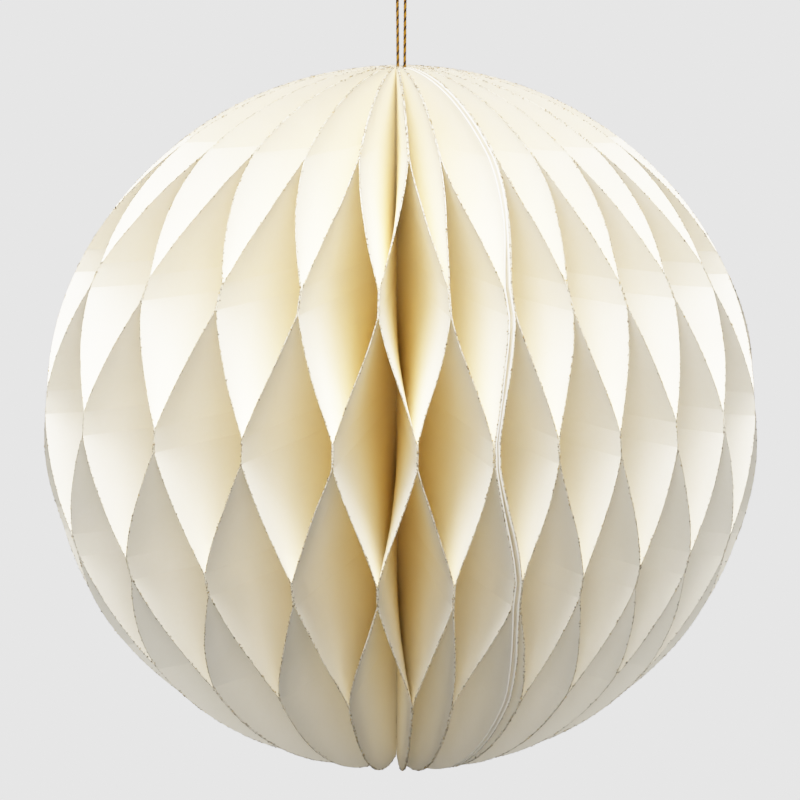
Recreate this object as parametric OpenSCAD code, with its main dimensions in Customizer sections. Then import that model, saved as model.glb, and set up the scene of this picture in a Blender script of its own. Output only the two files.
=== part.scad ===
// Paper honeycomb ball on a hanging cord.
//
// Stiff half-disc leaves stand around a vertical spine. Each leaf is glued to its neighbours along
// horizontal strips, and the strips of one row lie midway between those of the rows above and below,
// so the opened leaves part into tall diamond cells. The first and the last leaf carry a cover card
// with small magnets and meet at the seam. Units are millimetres. The origin is the point where a
// hook carries the loop, +Z is up and the front is -Y. Angles around the ball start at the front
// and grow towards +X. Heights in this file are counted from the ball's centre.

/* [Ball] */
// Height of the open ball, pole to pole
ball_height = 200; // [160:5:260]
// Width of the open ball at its equator
ball_width = 203; // [160:1:264]
// Number of leaves, always odd
leaf_count = 41; // [31:2:45]
// Angle of the closing seam around the ball
seam_angle = 15.7; // [-30:0.1:30]
// How closely the cells gather beside the seam
gather = 0.43; // [0:0.01:0.5]
// How much the gathering leans to one side of the seam
lean = 0.04; // [0:0.01:0.1]
// How far the seam swings back to the last cell in the top row
top_swing = 1; // [0:0.05:1]
// How far the seam swings back to the last cell in the bottom row
low_swing = 0.55; // [0:0.05:1]
// Where the first two leaves meet in those rows, from line 2 at 0 to line 1 at 1
outer_meet = 0.36; // [0.2:0.02:1]

/* [Cells] */
// Height between one row of glue strips and the next
row_pitch = 37; // [32:1:40]
// Height of the middle row above the ball's centre
middle_row = 9; // [-9:1:9]
// Height of one glue strip
strip_height = 6.4; // [6:0.2:9]
// Rounding of the panels between strips, 0 for straight ones
curl = 0.1; // [0:0.05:1]

/* [Paper] */
// Thickness of a leaf
paper = 0.22; // [0.15:0.01:0.25]
// Thickness of a glue film
glue = 0.03; // [0.02:0.01:0.04]
// Thickness of a cover card
card = 0.35; // [0.3:0.05:0.5]

/* [Closure] */
// Diameter of a closing magnet
magnet_d = 6; // [4:0.5:6]
// Thickness of a closing magnet
magnet_h = 0.5; // [0.4:0.1:0.6]
// Distance from the leaf's rim to a magnet's centre
magnet_inset = 14; // [8:1:20]

/* [Spine] */
// Radius of the ring in which the leaves stand
root_radius = 2.4; // [2.4:0.1:3]
// Outer diameter of the binding tube
binding_d = 4.6; // [4.4:0.1:4.6]
// Bore of the binding tube
binding_bore = 3.9; // [3.6:0.1:4]

/* [Cord] */
// Diameter of the cord
cord_d = 0.85; // [0.6:0.05:1]
// Distance between the two strands at the ball's pole
strand_pitch = 1.92; // [1.8:0.02:2.2]
// Distance between the two strands at the top of the loop
loop_width = 3.3; // [2.6:0.1:8]
// Distance from the hook down to the ball's centre
hang_height = 180; // [150:5:300]

/* [Hidden] */
$fn = 48;
tiny = 0.02;                                // running gap at magnets and knot
degree = 180 / PI;
half_height = ball_height / 2;
half_width = ball_width / 2;
leaf_tip = root_radius + 1.7;               // radius at which a leaf's outline ends at a pole
card_root = 2.5;                            // distance from the leaf's root to the card's inner edge
card_tip = 7;                               // least radius at which a card's outline ends near a pole
row_count = 5;
low_row = middle_row - (row_count - 1) / 2 * row_pitch;
high_row = low_row + (row_count - 1) * row_pitch;
panel_steps = 4;                            // facets from one row to the next
cap_step = 6;                               // latitude step of the outline beyond the last rows
cover = card + glue;
glued_pair = (paper + glue) / 2;            // from the middle of a glue film to a leaf's middle
closed_gap = 2 * magnet_h + tiny;           // free gap between the two closed cover cards
closed_pair = paper + 2 * cover + closed_gap;  // from the first leaf's middle to the last leaf's
slot_angle = asin(closed_pair / 2 / root_radius);
root_step = (360 - 2 * slot_angle) / (leaf_count - 1);
pole_gap = 0.5;                             // from the bending point of the cord to each cord end
pivot_z = half_height + pole_gap;
binding_top = half_height - 4;
binding_bottom = 12 - half_height;
knot_r = 2.15;
knot_z = binding_bottom - tiny - knot_r;
cord_lap = 0.1;                             // how far a strand runs on inside the bend of the loop
cord_step = 0.02;                           // how much thicker the cord is in the bend
cord_end = 3.5;                             // length of the cut cord ends below the knot
cord_end_pitch = 1.3;                       // distance between the two cut ends
loop_top = hang_height + (cord_d + cord_step) / 2;  // middle of the cord over the hook

cream = [0.96, 0.94, 0.87];
gold = [0.72, 0.52, 0.2];

function leaf_name(i) = str("leaf_", i < 10 ? "0" : "", i);

// ---- Shape of the ball -------------------------------------------------------------------------

// Unit vector that points away from the axis at an angle, and the one square to it.
function away(a) = [sin(a), -cos(a)];
function beside(a) = [cos(a), sin(a)];

// Radius of the ball at a height.
function ball_radius(z) = half_width * sqrt(1 - pow(z / half_height, 2));

// Height at which the ball has a given radius, above the centre.
function height_at(r) = half_height * sqrt(1 - pow(r / half_width, 2));

// Angle from the seam to the place u around the ball, with u from 0 to 1. The cells are narrow
// beside the seam and wide opposite it.
function spread(u) =
    360 * u - gather * degree * sin(360 * u) + lean * degree / 2 * (1 - cos(720 * u));

// Angle around the ball of glue line j, which lies between leaves j and j + 1.
function line_angle(j) = seam_angle - spread((j - 0.5) / (leaf_count - 1));

// 1 at the middle row and every second row from it, 0 at the rows between, level across a strip and
// beyond the last rows.
function wave(z) =
    let (
        rows = min(2, abs(z - middle_row) / row_pitch),
        near = abs(1 - (rows - 2 * floor(rows / 2))),
        flat = strip_height / row_pitch / 2,
        x = min(1, max(0, (near - flat) / (1 - 2 * flat)))
    )
    (1 - curl) * x + curl * x * x * (3 - 2 * x);

// Heights of the facets of a leaf, from pole to pole.
function levels() =
    let (
        top_start = asin((high_row + strip_height / 2) / half_height),
        low_start = asin((low_row - strip_height / 2) / half_height),
        pole = asin(height_at(leaf_tip) / half_height),
        top_steps = ceil((pole - top_start) / cap_step),
        low_steps = ceil((pole + low_start) / cap_step),
        panel = row_pitch - strip_height
    )
    concat(
        [for (k = [0 : low_steps - 1]) half_height * sin(-pole + (pole + low_start) * k / low_steps)],
        [for (row = [0 : row_count - 1]) each concat(
            [low_row + row * row_pitch - strip_height / 2],
            [for (k = [0 : row < row_count - 1 ? panel_steps - 1 : 0])
                low_row + row * row_pitch + strip_height / 2 + panel * k / panel_steps]
        )],
        [for (k = [1 : top_steps]) half_height * sin(top_start + (pole - top_start) * k / top_steps)]
    );

// ---- Lines of a leaf ---------------------------------------------------------------------------

function is_odd(i) = i % 2 == 1;

// Root of leaf i, on the ring around the spine.
function root(i) = root_radius * away(seam_angle - slot_angle - (i - 1) * root_step);

// Sideways distance from glue line to leaf, in the rows of the middle row's kind and in the others.
// The first and the last leaf stand a closed pair apart and share the glue lines on both sides.
function even_shift(i) = !is_odd(i) ? -glued_pair : glued_pair + (i == leaf_count ? closed_pair : 0);
function odd_shift(i) = !is_odd(i) ? glued_pair : -glued_pair - (i == 1 ? closed_pair : 0);

// The same for the closed seam where it swings back against the leaf before the last.
function back_shift(i) = -3 * glued_pair - (i == 1 ? closed_pair : 0);

// Angle of the glue line between leaves i - 1 and i, or i and i + 1, in the middle row's kind of rows.
// In the outer rows nothing across the seam pulls at the first two leaves, and their line gives way.
function even_line(i, outer) =
    outer && i <= 2
        ? outer_meet * line_angle(1) + (1 - outer_meet) * line_angle(2)
        : line_angle(is_odd(i) ? i : i - 1);

// Direction in which leaf i runs out from its root at height z. From row to row it swings from one
// glue line to the next. What stands in the closed seam is free of its neighbours in the outer rows
// and swings the other way there.
function heading(i, z, in_seam) =
    let (
        outer = abs(z - middle_row) > row_pitch,
        back = outer && in_seam,
        w = wave(z) * (back ? (z > middle_row ? top_swing : low_swing) : 1),
        even = back ? line_angle(i - 2) : even_line(i, outer),
        a = w * even + (1 - w) * line_angle(is_odd(i) ? i - 1 : i),
        shift = w * (back ? back_shift(i) : even_shift(i)) + (1 - w) * odd_shift(i),
        way = half_width * away(a) + shift * beside(a) - root(i)
    )
    way / norm(way);

// Distance along a direction from the root of leaf i to the surface of the ball at height z.
function reach(i, z, d) =
    let (along = root(i) * d)
    sqrt(pow(ball_radius(z), 2) - root_radius * root_radius + along * along) - along;

// Point at height z, at a distance from the root of leaf i along d and a distance sideways.
function leaf_point(i, z, d, out, side) =
    let (p = root(i) + out * d + side * [-d.y, d.x])
    [p.x, p.y, z];

// Cross-section at height z of a sheet along leaf i: out through its stations on the low side, and
// back from the rim on the high side.
function outline(i, z, in_seam, stations, low, high) =
    let (
        d = heading(i, z, in_seam),
        out = concat(stations, [reach(i, z, d)]),
        last = len(out) - 1
    )
    concat(
        [for (k = [0 : last]) leaf_point(i, z, d, out[k], low)],
        [for (k = [last : -1 : 0]) leaf_point(i, z, d, out[k], high)]
    );

// ---- Sub-parts ---------------------------------------------------------------------------------

// Puts a shape whose heights are counted from the ball's centre below the hook.
module hung() {
    translate([0, 0, -hang_height]) children();
}

// A sheet that follows leaf i to its rim through a list of stations, which are distances from the
// root. It is faceted at the given heights.
module sheet(i, in_seam, stations, low, high, heights) {
    ring = 2 * (len(stations) + 1);
    last = ring * (len(heights) - 1);
    walls = [for (level = [0 : ring : last - ring], k = [0 : ring - 1])
        let (
            a = level + k,
            b = level + (k + 1) % ring,
            c = a + ring,
            d = b + ring,
            on_high_side = k > len(stations) && k < ring - 1
        )
        each on_high_side ? [[a, c, b], [c, d, b]] : [[a, c, d], [a, d, b]]
    ];
    bottom = [for (k = [0 : ring - 1]) k];
    top = [for (k = [ring - 1 : -1 : 0]) last + k];
    polyhedron(
        points = [for (z = heights) each outline(i, z, in_seam, stations, low, high)],
        faces = concat(walls, [bottom, top])
    );
}

// The first and the last leaf have a line of facets' corners where their cover card begins, so that
// card and leaf follow each other exactly.
module leaf(i) {
    stations = i == 1 || i == leaf_count ? [0, card_root] : [0];
    color(cream) hung() sheet(i, i == leaf_count, stations, -paper / 2, paper / 2, levels());
}

// A cover card is glued to the outside of an end leaf, on the side where the ball closes. Both cards
// stand in the seam. The first leaf leaves its card in the outer rows, the last one keeps to it.
module cover_card(i, side) {
    inside = side * (paper / 2 + glue);
    outside = side * (paper / 2 + cover);
    heights = [for (z = levels()) if (ball_radius(z) > card_tip) z];
    low = min(inside, outside);
    high = max(inside, outside);
    color(cream) hung() sheet(i, true, [card_root], low, high, heights);
}

// Two magnets sit on a cover card, in the rows above and below the middle row.
module magnets(i, side) {
    for (z = [middle_row - row_pitch, middle_row + row_pitch]) {
        d = heading(i, z, true);
        out = reach(i, z, d) - magnet_inset;
        at = leaf_point(i, z, d, out, side * (paper / 2 + cover + tiny / 4));
        color("silver")
            hung()
            translate(at)
            rotate([0, 0, atan2(d.y, d.x)])
            rotate([side > 0 ? -90 : 90, 0, 0])
            cylinder(d = magnet_d, h = magnet_h);
    }
}

// A strip of paper curled into a tube behind the leaves' roots, open along the seam.
module spine_binding() {
    color(cream)
        hung()
        translate([0, 0, binding_bottom])
        rotate([0, 0, seam_angle - 90 + slot_angle])
        rotate_extrude(angle = 360 - 2 * slot_angle)
        translate([binding_bore / 2, 0])
        square([(binding_d - binding_bore) / 2, binding_top - binding_bottom]);
}

// Two straight strands side by side that rise from a height and lean apart.
module strands(low, rise, lean) {
    for (side = [-1, 1])
        translate([side * strand_pitch / 2, 0, low])
        rotate([0, side * lean, 0])
        cylinder(d = cord_d, h = rise);
}

// The strands of the loop lean apart just enough to run smoothly into the bend over the hook.
module hanging_loop() {
    low = pivot_z + pole_gap;
    bend_r = loop_width / 2;
    bend_z = loop_top - bend_r;
    reach = norm([strand_pitch / 2, bend_z - low]);
    lean = asin(bend_r / reach) - atan2(strand_pitch / 2, bend_z - low);
    color(gold) hung() {
        strands(low, sqrt(reach * reach - bend_r * bend_r) + cord_lap, lean);
        translate([0, 0, bend_z])
            rotate([90, lean, 0])
            rotate_extrude(angle = 180 + 2 * lean)
            translate([bend_r, 0])
            circle(d = cord_d + cord_step);
    }
}

module cord_tail() {
    above_knot = knot_z + knot_r;
    color(gold) hung() strands(above_knot, pivot_z - pole_gap - above_knot, 0);
}

module stop_knot() {
    color(gold) hung() {
        translate([0, 0, knot_z])
            sphere(r = knot_r);
        for (side = [-1, 1])
            translate([side * cord_end_pitch / 2, 0, knot_z - knot_r - cord_end + cord_d])
            cylinder(d = cord_d, h = cord_end);
    }
}

// ---- Assembly ----------------------------------------------------------------------------------

for (i = [1 : leaf_count]) {
    leaf(i);
}
cover_card(1, 1);  // left_cover_card
cover_card(leaf_count, -1);  // right_cover_card
magnets(1, 1);  // left_magnets
magnets(leaf_count, -1);  // right_magnets
spine_binding();
hanging_loop();
cord_tail();
stop_knot();
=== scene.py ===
"""The look of a paper honeycomb ball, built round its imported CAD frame.

Stiff cream leaves stand round a spine and are glued in staggered strips, so that they part into tall
cells. Gold glitter sits on their rims and a twisted gold cord carries the ball. Lengths are metres.
"""

import math

import bpy
import numpy as np
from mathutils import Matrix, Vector


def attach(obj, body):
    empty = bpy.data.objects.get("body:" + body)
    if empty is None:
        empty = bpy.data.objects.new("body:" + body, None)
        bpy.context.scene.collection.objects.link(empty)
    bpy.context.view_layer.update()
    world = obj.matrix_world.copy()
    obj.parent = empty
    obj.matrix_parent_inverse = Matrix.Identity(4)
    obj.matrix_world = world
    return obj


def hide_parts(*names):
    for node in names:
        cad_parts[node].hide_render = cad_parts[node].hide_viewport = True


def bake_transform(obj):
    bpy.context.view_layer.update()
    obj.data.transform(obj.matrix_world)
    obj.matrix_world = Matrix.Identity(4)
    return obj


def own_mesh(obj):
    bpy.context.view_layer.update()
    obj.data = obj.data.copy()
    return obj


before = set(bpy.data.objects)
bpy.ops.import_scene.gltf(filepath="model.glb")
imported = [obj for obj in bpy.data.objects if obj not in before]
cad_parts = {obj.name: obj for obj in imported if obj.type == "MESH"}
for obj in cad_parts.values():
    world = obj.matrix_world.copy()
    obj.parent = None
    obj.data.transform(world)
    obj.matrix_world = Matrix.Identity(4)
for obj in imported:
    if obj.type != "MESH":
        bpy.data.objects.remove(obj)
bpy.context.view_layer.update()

MM = 0.001

# ---- The ball, with the sizes and rules of its CAD model -------------------------------------------

HANG_HEIGHT = 180 * MM          # from the hook down to the ball's centre
HALF_HEIGHT = 100 * MM
HALF_WIDTH = 101.5 * MM
LEAF_COUNT = 41
MIDDLE_LEAF = 21
SEAM = math.radians(15.7)
GATHER = 0.43                   # how closely the cells gather beside the seam
LEAN = 0.04                     # how much they lean to one side of it

ROW_PITCH = 37 * MM
MIDDLE_ROW = 9 * MM
LOW_ROW = MIDDLE_ROW - 2 * ROW_PITCH
HIGH_ROW = MIDDLE_ROW + 2 * ROW_PITCH
STRIP = 6.4 * MM                # height of a glue strip
TOP_SWING = 1.0                 # how far the seam swings back to leaf 40 in the top row
LOW_SWING = 0.55                # and in the bottom row
OUTER_MEET = 0.36               # where leaves 1 and 2 meet there, from line 2 at 0 to line 1 at 1

PAPER = 0.22 * MM
GLUE = 0.03 * MM
CARD = 0.35 * MM
MAGNET_H = 0.5 * MM
MAGNET_R = 3 * MM
MAGNET_INSET = 14 * MM
RUNNING_GAP = 0.02 * MM
COVER = CARD + GLUE
GLUED_PAIR = (PAPER + GLUE) / 2
CLOSED_PAIR = PAPER + 2 * COVER + 2 * MAGNET_H + RUNNING_GAP

ROOT_RADIUS = 2.4 * MM
LEAF_TIP = 4.1 * MM             # radius at which a leaf's outline ends at a pole
CARD_ROOT = 2.5 * MM
CARD_TIP = 7 * MM
SLOT = math.asin(CLOSED_PAIR / 2 / ROOT_RADIUS)
ROOT_STEP = (2 * math.pi - 2 * SLOT) / (LEAF_COUNT - 1)

BINDING_BOTTOM = 12 * MM - HALF_HEIGHT
PIVOT_Z = HALF_HEIGHT + 0.5 * MM
STRAND_PITCH = 1.92 * MM
LOOP_WIDTH = 3.3 * MM
CORD_R = 0.425 * MM

# ---- How real paper departs from the rules ---------------------------------------------------------

LINE_JITTER = math.radians(0.05)
RADIUS_JITTER = 0.18 * MM
PLAIN_CURL, SEAM_CURL = 0.05, 0.3
UNDULATION = 0.16 * MM
UNDULATION_LENGTH = 45 * MM
SEAM_PINCH = 0.34 * MM          # how far each cover bends towards the other between the magnets

rng = np.random.default_rng(20)
line_jitter = rng.normal(0, 1, LEAF_COUNT - 1) * LINE_JITTER
radius_jitter = rng.normal(0, 1, LEAF_COUNT + 1) * RADIUS_JITTER


def away(a):
    return np.stack([np.sin(a), -np.cos(a)], -1)


def beside(a):
    return np.stack([np.cos(a), np.sin(a)], -1)


def ball_radius(z):
    return HALF_WIDTH * np.sqrt(1 - (z / HALF_HEIGHT) ** 2)


def height_at(r):
    return HALF_HEIGHT * math.sqrt(1 - (r / HALF_WIDTH) ** 2)


def spread(u):
    full = 2 * np.pi * u
    return full - GATHER * np.sin(full) + LEAN / 2 * (1 - np.cos(2 * full))


def line_angle(j):
    """Angle of glue line j, which lies between leaves j and j + 1, with its own small error."""
    return SEAM - spread((j - 0.5) / (LEAF_COUNT - 1)) + line_jitter[j % (LEAF_COUNT - 1)]


def strip_phase(z):
    """1 at the middle row and every second row from it and beyond the last rows, 0 at the rows
    between, past both at a strip."""
    rows = np.minimum(np.abs(z - MIDDLE_ROW) / ROW_PITCH, 2)
    near = np.abs(1 - np.mod(rows, 2))
    flat = STRIP / ROW_PITCH / 2
    return (near - flat) / (1 - 2 * flat)


def wave(z, curl):
    x = np.clip(strip_phase(z), 0, 1)
    return (1 - curl) * x + curl * x * x * (3 - 2 * x)


def is_odd(i):
    return i % 2 == 1


def root(i):
    return ROOT_RADIUS * away(SEAM - SLOT - (i - 1) * ROOT_STEP)


def is_cover(i):
    return i in (1, LEAF_COUNT)


def heading_at(i, w, outer=0, in_seam=False):
    """Direction of leaf i for the swing w from one of its glue lines to the other. In the outer rows,
    outer being 1 above and -1 below, what stands in the closed seam swings the other way, to the
    neighbour of the last leaf, and the first two leaves meet at a line that gives way."""
    odd = is_odd(i)
    even_line = line_angle(i if odd else i - 1)
    even_shift = -GLUED_PAIR if not odd else GLUED_PAIR + (CLOSED_PAIR if i == LEAF_COUNT else 0)
    odd_shift = GLUED_PAIR if not odd else -GLUED_PAIR - (CLOSED_PAIR if i == 1 else 0)
    w = np.asarray(w, float)
    if outer and in_seam:
        w = w * (TOP_SWING if outer > 0 else LOW_SWING)
        even_line = line_angle(i - 2)
        even_shift = -3 * GLUED_PAIR - (CLOSED_PAIR if i == 1 else 0)
    elif outer and i <= 2:
        even_line = OUTER_MEET * line_angle(1) + (1 - OUTER_MEET) * line_angle(2)
    a = w * even_line + (1 - w) * line_angle(i - 1 if odd else i)
    shift = w * even_shift + (1 - w) * odd_shift
    way = HALF_WIDTH * away(a) + np.expand_dims(shift, -1) * beside(a) - root(i)
    return way / np.linalg.norm(way, axis=-1, keepdims=True)


def heading(i, z, in_seam=False):
    """Direction in which leaf i, or the card on it, runs out from the root at the heights z."""
    w = wave(z, leaf_curl(i))
    beyond = z - MIDDLE_ROW
    ways = [heading_at(i, w, outer, in_seam or i == LEAF_COUNT) for outer in (-1, 0, 1)]
    return np.where((beyond > ROW_PITCH)[..., None], ways[2],
                    np.where((beyond < -ROW_PITCH)[..., None], ways[0], ways[1]))


def across(d):
    return np.stack([-d[..., 1], d[..., 0]], -1)


def leaf_curl(i):
    """The panels beside the seam are bent into an S, those far from it run nearly straight."""
    from_seam = min(i - 1, LEAF_COUNT - i)
    return PLAIN_CURL + (SEAM_CURL - PLAIN_CURL) * math.exp(-(from_seam / 4) ** 2)


def leaf_heights(tip, panel_steps=18, strip_steps=3, top_steps=14, cap_angle=math.radians(2.2)):
    """Heights of a leaf's mesh rows, with one at each strip's edges. The tip is its radius at a pole."""
    pole = math.asin(height_at(tip) / HALF_HEIGHT)
    low = math.asin((LOW_ROW - STRIP / 2) / HALF_HEIGHT)
    high = math.asin((HIGH_ROW + STRIP / 2) / HALF_HEIGHT)
    heights = [HALF_HEIGHT * np.sin(np.arange(-pole, low, cap_angle))]
    for row in range(5):
        z = LOW_ROW + row * ROW_PITCH
        heights.append(np.linspace(z - STRIP / 2, z + STRIP / 2, strip_steps, endpoint=False))
        if row < 4:
            heights.append(np.linspace(z + STRIP / 2, z + ROW_PITCH - STRIP / 2, panel_steps,
                                       endpoint=False))
    heights.append(HALF_HEIGHT * np.sin(np.linspace(high, pole, top_steps)))
    z = np.concatenate(heights)
    keep = np.concatenate([[True], np.diff(z) > 0.1 * MM])
    return z[keep]


def undulation(i, z, out):
    """Slow waves in a panel, seeded by its leaf, that vanish at the glue strips and at the root."""
    own = np.random.default_rng(1000 + i)
    x = np.clip(strip_phase(z), 0, 1)
    mask = (4 * x * (1 - x)) ** 1.5 * np.clip(out / (60 * MM), 0, 1)
    total = 0
    for _ in range(5):
        kz, kr = own.normal(0, 1, 2) * 2 * math.pi / UNDULATION_LENGTH
        total = total + np.sin(kz * z + kr * out + own.uniform(0, 2 * math.pi))
    return UNDULATION * mask * total / 2


def seam_bend(i, z, out):
    """The closed covers lie against each other where no magnet keeps them apart."""
    if not is_cover(i):
        return 0
    near_row = np.cos((z - MIDDLE_ROW) / ROW_PITCH * math.pi) * 0.5 + 0.5
    inside = np.clip(1 - np.abs(z - MIDDLE_ROW) / (1.2 * ROW_PITCH), 0, 1) ** 0.5
    towards = 1 if i == 1 else -1
    return towards * SEAM_PINCH * near_row ** 2 * inside * np.clip(out / (80 * MM), 0, 1) ** 2


def leaf_surface(i, z, share, offset, start=0.0, radius_step=0.0, in_seam=False):
    """Points of leaf i or its card in the frame, at heights z and at shares 0 to 1 of the way from
    start to rim. The result is shifted sideways by an offset from the leaf's middle."""
    z, share = np.broadcast_arrays(np.asarray(z, float), np.asarray(share, float))
    p = root(i)
    d = heading(i, z, in_seam)
    along = d @ p
    rim_radius = ball_radius(z) + radius_jitter[i] * np.clip(ball_radius(z) / (30 * MM), 0, 1) + radius_step
    reach = np.sqrt(rim_radius ** 2 - ROOT_RADIUS ** 2 + along ** 2) - along
    out = start + share * (reach - start)
    side = offset + undulation(i, z, out) + seam_bend(i, z, out)
    xy = p + out[..., None] * d + side[..., None] * across(d)
    return np.concatenate([xy, (z - HANG_HEIGHT)[..., None]], -1)


# ---- Mesh helpers ----------------------------------------------------------------------------------

def add_mesh(name, points, faces, materials, sharp=math.radians(50)):
    mesh = bpy.data.meshes.new(name)
    mesh.from_pydata(np.asarray(points).tolist(), [], [list(map(int, f)) for f in faces])
    for m in materials:
        mesh.materials.append(m)
    mesh.polygons.foreach_set("use_smooth", [True] * len(mesh.polygons))
    mesh.set_sharp_from_angle(angle=sharp)
    mesh.update()
    obj = bpy.data.objects.new(name, mesh)
    bpy.context.scene.collection.objects.link(obj)
    return obj


def sheet_faces(rows, columns):
    """Faces of a closed sheet whose low side comes first and whose high side follows. The border
    faces come last."""
    grid = np.arange(rows * columns).reshape(rows, columns)
    a, b, c, d = grid[:-1, :-1], grid[:-1, 1:], grid[1:, 1:], grid[1:, :-1]
    low = np.stack([a, b, c, d], -1).reshape(-1, 4)
    high = low[:, ::-1] + rows * columns
    loop = np.concatenate([grid[0, :], grid[1:, -1], grid[-1, -2::-1], grid[-2:0:-1, 0]])
    following = np.roll(loop, -1)
    border = np.stack([following, loop, loop + rows * columns, following + rows * columns], -1)
    return np.concatenate([low, high, border])


SHEET_COLUMNS = 13
CREASE = math.radians(4)        # a sheet bent by more than this shows a crease


def sheet(name, i, tip, start, low, high, materials, in_seam=False):
    """A closed thick sheet along leaf i. Its faces take the first material, its edges the second."""
    z = leaf_heights(tip)
    share = np.linspace(0, 1, SHEET_COLUMNS) ** 0.8
    sides = [leaf_surface(i, z[:, None], share[None, :], o, start, in_seam=in_seam) for o in (low, high)]
    faces = sheet_faces(len(z), SHEET_COLUMNS)
    points = np.concatenate([s.reshape(-1, 3) for s in sides])
    obj = add_mesh(name, points, faces, materials, sharp=CREASE)
    flat = 2 * (len(z) - 1) * (SHEET_COLUMNS - 1)
    index = np.zeros(len(faces), int)
    index[flat:] = 1
    obj.data.polygons.foreach_set("material_index", index)
    return obj


def frames_along(path, first):
    """Two directions across a path at each of its points, turned as little as possible from the first."""
    tangent = np.concatenate([path[1:], path[-1:]]) - np.concatenate([path[:1], path[:-1]])
    tangent /= np.linalg.norm(tangent, axis=1, keepdims=True)
    normal = np.zeros_like(path)
    for k, t in enumerate(tangent):
        first = first - (first @ t) * t
        first /= np.linalg.norm(first)
        normal[k] = first
    return normal, np.cross(tangent, normal)


def tube(path, radius, sides, first):
    """Points and faces of a tube along a path. The path is an array of points, the radius may vary."""
    normal, side = frames_along(path, first)
    turn = np.linspace(0, 2 * math.pi, sides, endpoint=False)
    ring = np.cos(turn)[None, :, None] * normal[:, None] + np.sin(turn)[None, :, None] * side[:, None]
    points = path[:, None] + radius[:, None, None] * ring
    last = len(path) - 1
    faces = []
    for k in range(last):
        n = k + 1
        for m in range(sides):
            o = (m + 1) % sides
            faces.append([k * sides + m, k * sides + o, n * sides + o, n * sides + m])
    faces.append(list(range(sides))[::-1])
    faces.append([last * sides + m for m in range(sides)])
    return points.reshape(-1, 3), faces


def joined(parts):
    """One list of points and faces out of several."""
    points, faces, first = [], [], 0
    for p, f in parts:
        points.append(np.asarray(p))
        faces += [[v + first for v in face] for face in f]
        first += len(p)
    return np.concatenate(points), faces


# ---- Materials -------------------------------------------------------------------------------------

def new_material(name):
    mat = bpy.data.materials.new(name)
    mat.use_nodes = True
    tree = mat.node_tree
    tree.nodes.clear()
    out = tree.nodes.new("ShaderNodeOutputMaterial")
    shader = tree.nodes.new("ShaderNodeBsdfPrincipled")
    tree.links.new(shader.outputs["BSDF"], out.inputs["Surface"])
    coord = tree.nodes.new("ShaderNodeTexCoord")
    return mat, tree, shader, coord


def noise(tree, vector, scale, detail=2.0, rough=0.5, distortion=0.0):
    node = tree.nodes.new("ShaderNodeTexNoise")
    node.inputs["Scale"].default_value = scale
    node.inputs["Detail"].default_value = detail
    node.inputs["Roughness"].default_value = rough
    node.inputs["Distortion"].default_value = distortion
    tree.links.new(vector, node.inputs["Vector"])
    return node.outputs["Fac"]


def ramp(tree, value, stops):
    """A colour ramp over a value. Each stop is a place and a colour."""
    node = tree.nodes.new("ShaderNodeValToRGB")
    while len(node.color_ramp.elements) < len(stops):
        node.color_ramp.elements.new(0.5)
    for element, (place, colour) in zip(node.color_ramp.elements, stops):
        element.position = place
        element.color = (*colour, 1)
    tree.links.new(value, node.inputs["Fac"])
    return node.outputs["Color"]


def mapped(tree, value, low, high):
    node = tree.nodes.new("ShaderNodeMapRange")
    node.inputs["To Min"].default_value = low
    node.inputs["To Max"].default_value = high
    tree.links.new(value, node.inputs["Value"])
    return node.outputs["Result"]


def mixed(tree, kind, factor, a, b):
    node = tree.nodes.new("ShaderNodeMix")
    node.data_type = "RGBA"
    node.blend_type = kind
    if isinstance(factor, float):
        node.inputs[0].default_value = factor
    else:
        tree.links.new(factor, node.inputs[0])
    for socket, value in ((6, a), (7, b)):
        if isinstance(value, tuple):
            node.inputs[socket].default_value = (*value, 1)
        else:
            tree.links.new(value, node.inputs[socket])
    return node.outputs[2]


def bumped(tree, shader, height, strength, distance):
    node = tree.nodes.new("ShaderNodeBump")
    node.inputs["Strength"].default_value = strength
    node.inputs["Distance"].default_value = distance
    tree.links.new(height, node.inputs["Height"])
    tree.links.new(node.outputs["Normal"], shader.inputs["Normal"])


def summed(tree, a, b, weight):
    node = tree.nodes.new("ShaderNodeMath")
    node.operation = "MULTIPLY_ADD"
    node.inputs[1].default_value = weight
    tree.links.new(b, node.inputs[0])
    tree.links.new(a, node.inputs[2])
    return node.outputs["Value"]


def stretched(tree, coord, scale):
    """Object coordinates scaled by axis, so that a pattern runs along one of them."""
    node = tree.nodes.new("ShaderNodeMapping")
    node.inputs["Scale"].default_value = scale
    tree.links.new(coord.outputs["Object"], node.inputs["Vector"])
    return node.outputs["Vector"]


DEEP_SHARE, RIM_SHARE = 0.3, 0.92     # of the ball's radius


def nearness_to_rim(tree, coord):
    """0 far inside the ball and 1 near its surface: where the paper's painted glow gives way to its own
    tone.
    """
    centred = tree.nodes.new("ShaderNodeMapping")
    centred.inputs["Location"].default_value = (0, 0, HANG_HEIGHT / HALF_HEIGHT)
    centred.inputs["Scale"].default_value = (1 / HALF_WIDTH, 1 / HALF_WIDTH, 1 / HALF_HEIGHT)
    tree.links.new(coord.outputs["Object"], centred.inputs["Vector"])
    length = tree.nodes.new("ShaderNodeVectorMath")
    length.operation = "LENGTH"
    tree.links.new(centred.outputs["Vector"], length.inputs[0])
    near = tree.nodes.new("ShaderNodeMapRange")
    near.interpolation_type = "SMOOTHSTEP"
    near.inputs["From Min"].default_value, near.inputs["From Max"].default_value = DEEP_SHARE, RIM_SHARE
    tree.links.new(length.outputs["Value"], near.inputs["Value"])
    return near.outputs["Result"]


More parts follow.
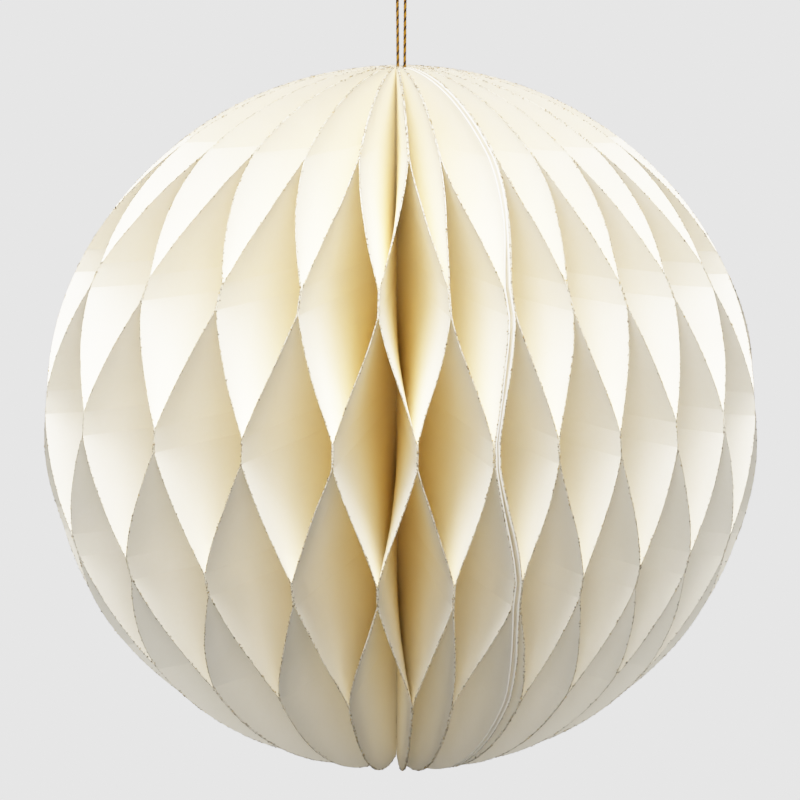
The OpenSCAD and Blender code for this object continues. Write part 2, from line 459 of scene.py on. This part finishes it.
def paper_material(name, colour, shade, painted_glow, fibre_depth=0.035 * MM):
    """Uncoated stiff paper: cloudy pulp, fine fibres, a matt surface with slightly smoother spots. Towards
    the spine its colour turns to a painted glow, a warm tone that stands in for the light that bounces
    between the sheets."""
    mat, tree, shader, coord = new_material(name)
    spot = coord.outputs["Object"]
    cloud = noise(tree, spot, 55, 4, 0.6, 0.4)
    pulp = noise(tree, spot, 700, 5, 0.65)
    fibre_up = noise(tree, stretched(tree, coord, (4200, 4200, 900)), 1, 3, 0.6, 1.2)
    fibre_across = noise(tree, stretched(tree, coord, (900, 900, 4200)), 1, 3, 0.6, 1.2)
    tone = ramp(tree, cloud, [(0.3, shade), (0.7, colour)])
    fleck = ramp(tree, pulp, [(0.25, (0.98, 0.975, 0.96)), (0.6, (1, 1, 1))])
    # Painted glow towards the spine, a warm tone in place of light bouncing between the sheets; the paper's
    # own tone near the rim.
    tone = mixed(tree, "MIX", nearness_to_rim(tree, coord), painted_glow, tone)
    tree.links.new(mixed(tree, "MULTIPLY", 0.8, tone, fleck), shader.inputs["Base Color"])
    tree.links.new(mapped(tree, pulp, 0.72, 0.95), shader.inputs["Roughness"])
    shader.inputs["Specular IOR Level"].default_value = 0.25
    relief = summed(tree, summed(tree, fibre_up, fibre_across, 1.0), pulp, 0.8)
    bumped(tree, shader, relief, 0.55, fibre_depth)
    return mat


def glitter_coat_material():
    """The leaf's cut edge under its gold glitter: cream size between grains of many tones."""
    mat, tree, shader, coord = new_material("glitter_coat")
    grain = tree.nodes.new("ShaderNodeTexVoronoi")
    grain.inputs["Scale"].default_value = 2600
    tree.links.new(coord.outputs["Object"], grain.inputs["Vector"])
    tone = tree.nodes.new("ShaderNodeSeparateColor")
    tree.links.new(grain.outputs["Color"], tone.inputs["Color"])
    stops = [(0.0, (0.8, 0.75, 0.62)), (0.7, (0.74, 0.66, 0.5)), (0.85, (0.45, 0.31, 0.11)),
             (1.0, (0.14, 0.08, 0.015))]
    tree.links.new(ramp(tree, tone.outputs["Red"], stops), shader.inputs["Base Color"])
    shader.inputs["Metallic"].default_value = 0.1
    tree.links.new(mapped(tree, tone.outputs["Blue"], 0.3, 0.7), shader.inputs["Roughness"])
    bumped(tree, shader, grain.outputs["Distance"], 0.7, 0.08 * MM)
    return mat


def glitter_material():
    """Loose metallic grains, each island with its own tone from pale gold to dark bronze."""
    mat, tree, shader, coord = new_material("gold_glitter")
    island = tree.nodes.new("ShaderNodeNewGeometry").outputs["Random Per Island"]
    stops = [(0.0, (0.035, 0.02, 0.004)), (0.5, (0.1, 0.058, 0.012)), (0.8, (0.26, 0.15, 0.03)),
             (1.0, (0.7, 0.48, 0.14))]
    tone = ramp(tree, island, stops)
    haze = noise(tree, coord.outputs["Object"], 9000, 2)
    dull = ramp(tree, haze, [(0.3, (0.6, 0.6, 0.6)), (0.7, (1, 1, 1))])
    tree.links.new(mixed(tree, "MULTIPLY", 0.4, tone, dull), shader.inputs["Base Color"])
    shader.inputs["Metallic"].default_value = 0.35
    shader.inputs["Roughness"].default_value = 0.42
    bumped(tree, shader, haze, 0.2, 0.02 * MM)
    return mat


def yarn_material(name, dark, light, metallic):
    """One twisted ply of metallic yarn: fine filaments that run along the ply and catch the light."""
    mat, tree, shader, coord = new_material(name)
    uv = tree.nodes.new("ShaderNodeMapping")
    uv.inputs["Scale"].default_value = (7, 0.35, 1)
    tree.links.new(coord.outputs["UV"], uv.inputs["Vector"])
    filament = noise(tree, uv.outputs["Vector"], 3.0, 3, 0.6)
    broad = noise(tree, coord.outputs["Object"], 900, 3)
    tone = ramp(tree, filament, [(0.28, dark), (0.72, light)])
    worn = ramp(tree, broad, [(0.3, (0.8, 0.76, 0.7)), (0.7, (1, 1, 1))])
    tree.links.new(mixed(tree, "MULTIPLY", 0.7, tone, worn), shader.inputs["Base Color"])
    shader.inputs["Metallic"].default_value = metallic
    shader.inputs["Specular IOR Level"].default_value = 0.1
    tree.links.new(mapped(tree, filament, 0.75, 0.5), shader.inputs["Roughness"])
    bumped(tree, shader, filament, 0.8, 0.06 * MM)
    return mat


def magnet_material():
    """Bright nickel plating with fine scuffs."""
    mat, tree, shader, coord = new_material("nickel")
    scuff = noise(tree, stretched(tree, coord, (900, 900, 9000)), 1, 4, 0.7)
    cloud = noise(tree, coord.outputs["Object"], 600, 3)
    tone = ramp(tree, cloud, [(0.2, (0.58, 0.57, 0.54)), (0.8, (0.74, 0.73, 0.7))])
    tree.links.new(tone, shader.inputs["Base Color"])
    shader.inputs["Metallic"].default_value = 1.0
    tree.links.new(mapped(tree, scuff, 0.18, 0.45), shader.inputs["Roughness"])
    bumped(tree, shader, scuff, 0.15, 0.01 * MM)
    return mat


# Painted glow: warm tones towards the spine, for paper and card, which stand in for light that bounces
# between the sheets.
PAINTED_GLOW_CREAM = (0.995, 0.89, 0.57)
PAINTED_GLOW_CARD = (0.97, 0.91, 0.75)
LEAF_PAPER = paper_material("leaf_paper", (0.975, 0.932, 0.82), (0.96, 0.912, 0.785), PAINTED_GLOW_CREAM)
COVER_CARD = paper_material("cover_card", (0.97, 0.925, 0.82), (0.95, 0.9, 0.775), PAINTED_GLOW_CARD, 0.02 * MM)
BINDING_PAPER = paper_material("binding_paper", (0.93, 0.86, 0.66), (0.9, 0.81, 0.6), PAINTED_GLOW_CREAM, 0.05 * MM)
GLITTER_COAT = glitter_coat_material()
GOLD_GLITTER = glitter_material()
GOLD_PLY = yarn_material("gold_ply", (0.22, 0.09, 0.006), (0.52, 0.25, 0.022), 0.15)
DARK_PLY = yarn_material("dark_ply", (0.008, 0.003, 0.001), (0.03, 0.01, 0.003), 0.0)
NICKEL = magnet_material()


# ---- Leaves, covers and glitter --------------------------------------------------------------------

def body_of_leaf(i):
    if i == 1:
        return "left_cover"
    if i == LEAF_COUNT:
        return "right_cover"
    return "spine" if i == MIDDLE_LEAF else f"leaf_{i:02d}"


def folds_flat(obj, i):
    """The piece goes with the body of leaf i, with whatever else is glued to the leaf, and gets a mesh of
    its own.
    """
    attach(obj, body_of_leaf(i))
    d = heading_at(i, 0.0 if is_cover(i) else 0.5)
    p = root(i)
    if is_cover(i):
        p = p + (1 if i == 1 else -1) * (PAPER / 2 + COVER) * across(d)
    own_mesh(obj)


def add_leaf(i):
    leaf = sheet(f"paper_leaf_{i:02d}", i, LEAF_TIP, 0.0, -PAPER / 2, PAPER / 2,
                 [LEAF_PAPER, GLITTER_COAT])
    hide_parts(f"leaf_{i:02d}")
    folds_flat(leaf, i)


def add_cover_card(i, side, name):
    inside, outside = side * (PAPER / 2 + GLUE), side * (PAPER / 2 + COVER)
    card = sheet(f"board_{name}", i, CARD_TIP, CARD_ROOT, min(inside, outside), max(inside, outside),
                 [COVER_CARD, COVER_CARD], in_seam=True)
    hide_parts(name)
    folds_flat(card, i)


FLAKE_FACES = [[0, 2, 3], [0, 3, 4], [0, 4, 5], [0, 5, 6], [0, 6, 7], [0, 7, 2],
               [1, 3, 2], [1, 4, 3], [1, 5, 4], [1, 6, 5], [1, 7, 6], [1, 2, 7]]
GRAIN_SPACING = 0.33 * MM
GRAIN_LIFT = 0.02 * MM          # beyond the paper's edge
GRAIN_SPREAD = 0.14 * MM        # to each side of the paper's middle


def flake_points(own, count):
    """Flat six-sided grains of random size and turn about the origin."""
    turn = np.arange(6) * math.pi / 3
    shape = np.concatenate([[[0, 0, 0.28], [0, 0, -0.28]],
                            np.stack([np.cos(turn), np.sin(turn), 0 * turn], -1)])
    size = own.uniform(0.1, 0.26, count) * MM
    axes = np.linalg.qr(own.normal(0, 1, (count, 3, 3)))[0]
    return np.einsum("nij,kj->nki", axes, shape) * size[:, None, None]


def add_glitter(i):
    """Grains along the rim of leaf i, sown with gaps and clusters."""
    own = np.random.default_rng(5014 + i * 7)
    pole = math.asin(height_at(LEAF_TIP) / HALF_HEIGHT)
    count = int(2 * pole * HALF_WIDTH / GRAIN_SPACING)
    latitude = np.sort(own.uniform(-pole, pole, count))
    dense = 0.5 + 0.5 * np.sin(latitude * 37 + own.uniform(0, 6)) * np.sin(latitude * 13 + own.uniform(0, 6))
    latitude = latitude[own.uniform(0, 1, count) < 0.45 + 0.55 * dense]
    count = len(latitude)
    z = HALF_HEIGHT * np.sin(latitude)
    centre = leaf_surface(i, z, 1.0, 0.0, radius_step=GRAIN_LIFT)
    centre[:, :2] += own.uniform(-GRAIN_SPREAD, GRAIN_SPREAD, count)[:, None] * across(heading(i, z))
    inward = np.abs(own.normal(0, 0.12 * MM, count))
    radial = centre + [0, 0, HANG_HEIGHT]
    centre -= radial / np.linalg.norm(radial, axis=1, keepdims=True) * inward[:, None]
    points = (flake_points(own, count) + centre[:, None]).reshape(-1, 3)
    faces = (np.array(FLAKE_FACES)[None] + 8 * np.arange(count)[:, None, None]).reshape(-1, 3)
    grains = add_mesh(f"rim_glitter_{i:02d}", points, faces, [GOLD_GLITTER], sharp=math.radians(20))
    folds_flat(grains, i)


def add_magnets(i, side, name):
    """Two plated discs with rounded edges on a cover card."""
    profile = [(0.97, 0), (1, 0.06), (1, 0.94), (0.97, 1)]
    segments = 48
    turn = np.linspace(0, 2 * math.pi, segments, endpoint=False)
    parts = []
    for z in (MIDDLE_ROW - ROW_PITCH, MIDDLE_ROW + ROW_PITCH):
        d = heading_at(i, 0.0)
        p = root(i)
        along = d @ p
        reach = math.sqrt(ball_radius(z) ** 2 - ROOT_RADIUS ** 2 + along ** 2) - along
        at = p + (reach - MAGNET_INSET) * d + side * (PAPER / 2 + COVER + RUNNING_GAP / 4) * across(d)
        rings = []
        for r, h in profile:
            flat = MAGNET_R * r * np.cos(turn)
            up = MAGNET_R * r * np.sin(turn)
            xy = at + flat[:, None] * d + side * h * MAGNET_H * across(d)
            rings.append(np.column_stack([xy, z - HANG_HEIGHT + up]))
        points = np.concatenate([rings[0].mean(0)[None]] + rings + [rings[-1].mean(0)[None]])
        faces = []
        last = len(points) - 1
        for m in range(segments):
            o = (m + 1) % segments
            faces.append([0, 1 + o, 1 + m])
            for k in range(len(profile) - 1):
                a = 1 + k * segments
                faces.append([a + m, a + o, a + segments + o, a + segments + m])
            a = 1 + (len(profile) - 1) * segments
            faces.append([last, a + m, a + o])
        parts.append((points, faces))
    discs = add_mesh(f"discs_{name}", *joined(parts), [NICKEL], sharp=math.radians(35))
    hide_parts(name)
    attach(discs, body_of_leaf(i))


# ---- Cord and knot ---------------------------------------------------------------------------------

PLIES, DARK_ONE = 3, 2
PLY_PITCH = 2.4 * MM            # height of one full turn of the plies
PLY_R = 0.24 * MM               # the fibres of the plies stand a little beyond the cord's CAD radius
PLY_OFFSET = 0.215 * MM


def smooth_step(x):
    return x * x * (3 - 2 * x)


def length_along(path):
    return np.concatenate([[0], np.cumsum(np.linalg.norm(np.diff(path, axis=0), axis=1))])


def resampled(path, step):
    length = length_along(path)
    places = np.linspace(0, length[-1], max(2, int(length[-1] / step)))
    return np.stack([np.interp(places, length, path[:, k]) for k in range(3)], -1)


def rope(name, path, step=0.22 * MM, sides=8):
    """A cord of three twisted plies along a path, two of them gold and one dark."""
    path = resampled(path, step)
    normal, side = frames_along(path, np.array([0.0, 1.0, 0.0]))
    length = length_along(path)
    own = np.random.default_rng(len(name) * 31 + 7)
    wobble = 0.12 * np.sin(length / (11 * MM) + own.uniform(0, 6)) + 0.08 * np.sin(length / (4.1 * MM))
    parts, index = [], []
    for ply in range(PLIES):
        turn = 2 * math.pi * (length / PLY_PITCH + ply / PLIES) + wobble
        centre = path + PLY_OFFSET * (np.cos(turn)[:, None] * normal + np.sin(turn)[:, None] * side)
        radius = PLY_R * (1 + 0.05 * np.sin(length / (1.7 * MM) + ply))
        parts.append(tube(centre, radius, sides, normal[0]))
        index += [1 if ply == DARK_ONE else 0] * len(parts[-1][1])
    cord = add_mesh(name, *joined(parts), [GOLD_PLY, DARK_PLY], sharp=math.radians(80))
    cord.data.polygons.foreach_set("material_index", index)
    u = np.tile(np.arange(sides) / sides, PLIES * len(path))
    v = np.tile(np.repeat(length / PLY_PITCH, sides), PLIES)
    layer = cord.data.uv_layers.new(name="ply")
    loops = np.zeros(len(cord.data.loops), int)
    cord.data.loops.foreach_get("vertex_index", loops)
    layer.data.foreach_set("uv", np.stack([u[loops], v[loops]], -1).astype(np.float32).ravel())
    return cord


def cord_path():
    """Up from the knot, through the spine, over the hook and back down."""
    bend_r = LOOP_WIDTH / 2
    bend_z = HANG_HEIGHT + CORD_R - bend_r
    z = np.linspace(BINDING_BOTTOM, bend_z, 400)
    rise = np.clip((z - PIVOT_Z) / (bend_z - PIVOT_Z), 0, 1)
    half = STRAND_PITCH / 2 + (bend_r - STRAND_PITCH / 2) * (0.6 * rise + 0.4 * smooth_step(rise))
    up = np.stack([-half, 0 * z, z - HANG_HEIGHT], -1)
    turn = np.linspace(math.pi, 0, 24)[1:-1]
    over = np.stack([bend_r * np.cos(turn), 0 * turn, bend_z - HANG_HEIGHT + bend_r * np.sin(turn)], -1)
    down = up[::-1] * [-1, 1, 1]
    return np.concatenate([up, over, down])


def add_cord():
    cord = rope("twisted_cord", cord_path())
    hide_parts("hanging_loop", "cord_tail")
    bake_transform(cord)


KNOT_DEPTH = 2.15 * MM          # from the binding's lower end down to the knot's middle
KNOT_ACROSS = 0.525 * MM
KNOT_RISE = 1.3 * MM
CUT_END = 5.2 * MM
CUT_END_APART = 0.55 * MM


def add_stop_knot():
    """Both strands tied into one tight knot, with two short cut ends below it."""
    turn = np.linspace(0, 2 * math.pi, 200, endpoint=False)
    middle = BINDING_BOTTOM - RUNNING_GAP - KNOT_DEPTH
    tangle = np.stack([
        KNOT_ACROSS * (np.sin(turn) + 2 * np.sin(2 * turn)),
        KNOT_ACROSS * (np.cos(turn) - 2 * np.cos(2 * turn)),
        -KNOT_RISE * np.sin(3 * turn) + middle - HANG_HEIGHT], -1)
    knot = rope("stop_knot_cord", np.concatenate([tangle, tangle[:1]]), step=0.2 * MM)
    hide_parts("stop_knot")
    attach(knot, "cord_end")
    for side, name in ((-1, "left"), (1, "right")):
        z = np.linspace(0, -CUT_END, 40)
        apart = CUT_END_APART + 0.5 * MM * (z / CUT_END) ** 2
        path = np.stack([side * apart, 0.15 * MM * np.sin(z / MM), z + middle - HANG_HEIGHT], -1)
        end = rope(f"cut_end_{name}", path)
        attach(end, "cord_end")


# ---- Stage -----------------------------------------------------------------------------------------

BACKDROP = 0.791                # how pale the backdrop is in the picture, linear
FLOOR_Z = -0.75
FLOOR_REACH = 40.0
FILM_WHITE = 8.0                # scene light at which the film is white
FILM_POINTS = 16
FILL_LIGHT = 0.016
SOFTNESS = math.radians(50)     # how wide each studio light looks from the ball
CAMERA_DISTANCE = 0.776
CAMERA_RISE = math.radians(10.8)
CAMERA_LENS, CAMERA_SENSOR = 122.1, 36     # mm
CAMERA_SHIFT = (-0.0016, 0.022)


def film(light):
    """The shoulder of the picture: soft light up to white, as a photographic film keeps it."""
    return 1 - math.exp(-light)


def backdrop_light():
    return -math.log(1 - BACKDROP)


def backdrop_material():
    """Plain and pale, lit by itself."""
    mat, tree, shader, _ = new_material("pale_floor")
    tree.nodes.remove(shader)
    out = next(n for n in tree.nodes if n.type == "OUTPUT_MATERIAL")
    seen = tree.nodes.new("ShaderNodeEmission")
    seen.inputs["Strength"].default_value = backdrop_light()
    tree.links.new(seen.outputs["Emission"], out.inputs["Surface"])
    mat.cycles.emission_sampling = "NONE"
    return mat


def add_stage():
    """A floor that only the camera sees, so that it casts no light or shadow on the ball."""
    r = FLOOR_REACH
    corners = [(-r, -r, FLOOR_Z), (r, -r, FLOOR_Z), (r, r, FLOOR_Z), (-r, r, FLOOR_Z)]
    floor = add_mesh("pale_floor", corners, [[0, 1, 2, 3]], [backdrop_material()])
    floor.visible_shadow = False
    floor.visible_diffuse = False
    floor.visible_glossy = False


def add_world():
    """The same plain backdrop all round, which gives the ball next to no light."""
    world = bpy.data.worlds.new("studio")
    bpy.context.scene.world = world
    world.use_nodes = True
    tree = world.node_tree
    tree.nodes.clear()
    out = tree.nodes.new("ShaderNodeOutputWorld")
    path = tree.nodes.new("ShaderNodeLightPath")
    light = tree.nodes.new("ShaderNodeBackground")
    light.inputs["Color"].default_value = (1, 1, 1, 1)
    brightness = mapped(tree, path.outputs["Is Camera Ray"], FILL_LIGHT, backdrop_light())
    tree.links.new(brightness, light.inputs["Strength"])
    tree.links.new(light.outputs["Background"], out.inputs["Surface"])


def add_light(name, turn, rise, strength):
    """A very soft light from far away, turn degrees round from the front and rise degrees up."""
    light = bpy.data.lights.new(name, "SUN")
    light.angle = SOFTNESS
    light.energy = math.pi * strength
    turn, rise = math.radians(turn), math.radians(rise)
    source = Vector((math.cos(rise) * math.sin(turn), -math.cos(rise) * math.cos(turn), math.sin(rise)))
    lamp = bpy.data.objects.new(name, light)
    bpy.context.scene.collection.objects.link(lamp)
    lamp.rotation_euler = (-source).to_track_quat("-Z", "Y").to_euler()


def add_camera():
    camera = bpy.data.cameras.new("camera")
    camera.lens, camera.sensor_width = CAMERA_LENS, CAMERA_SENSOR
    camera.shift_x, camera.shift_y = CAMERA_SHIFT
    obj = bpy.data.objects.new("camera", camera)
    bpy.context.scene.collection.objects.link(obj)
    centre = Vector((0, 0, -HANG_HEIGHT))
    back = Vector((0, -math.cos(CAMERA_RISE), math.sin(CAMERA_RISE)))
    obj.location = centre + CAMERA_DISTANCE * back
    obj.rotation_euler = (-back).to_track_quat("-Z", "Y").to_euler()
    bpy.context.scene.camera = obj


def set_look():
    scene = bpy.context.scene
    scene.view_settings.view_transform = "Standard"
    scene.view_settings.look = "None"
    scene.view_settings.use_curve_mapping = True
    mapping = scene.view_settings.curve_mapping
    mapping.white_level = (FILM_WHITE,) * 3
    curve = mapping.curves[3]
    for light in np.linspace(0, 1, FILM_POINTS)[1:-1] ** 2:
        curve.points.new(light, film(light * FILM_WHITE))
    for end in (curve.points[0], curve.points[-1]):
        end.location = (end.location[0], film(end.location[0] * FILM_WHITE))
    mapping.update()
    scene.cycles.diffuse_bounces = 14
    scene.cycles.max_bounces = 16
    scene.cycles.sample_clamp_indirect = 0


# ---- The whole -------------------------------------------------------------------------------------

for leaf_number in range(1, LEAF_COUNT + 1):
    add_leaf(leaf_number)
    add_glitter(leaf_number)
add_cover_card(1, 1, "left_cover_card")
add_cover_card(LEAF_COUNT, -1, "right_cover_card")
add_magnets(1, 1, "left_magnets")
add_magnets(LEAF_COUNT, -1, "right_magnets")
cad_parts["spine_binding"].data.materials.clear()
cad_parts["spine_binding"].data.materials.append(BINDING_PAPER)
add_cord()
add_stop_knot()

add_stage()
add_world()
add_light("from_the_top", 0, 85, 3.9)
add_light("from_the_front", 0, 5, 0.82)
add_light("from_the_left", -50, 45, 0.5)
add_light("from_the_floor", 0, -40, 0.16)
add_light("from_behind_on_the_left", -150, 8, 0.45)
add_light("from_behind_on_the_right", 150, 8, 0.45)
add_camera()
set_look()
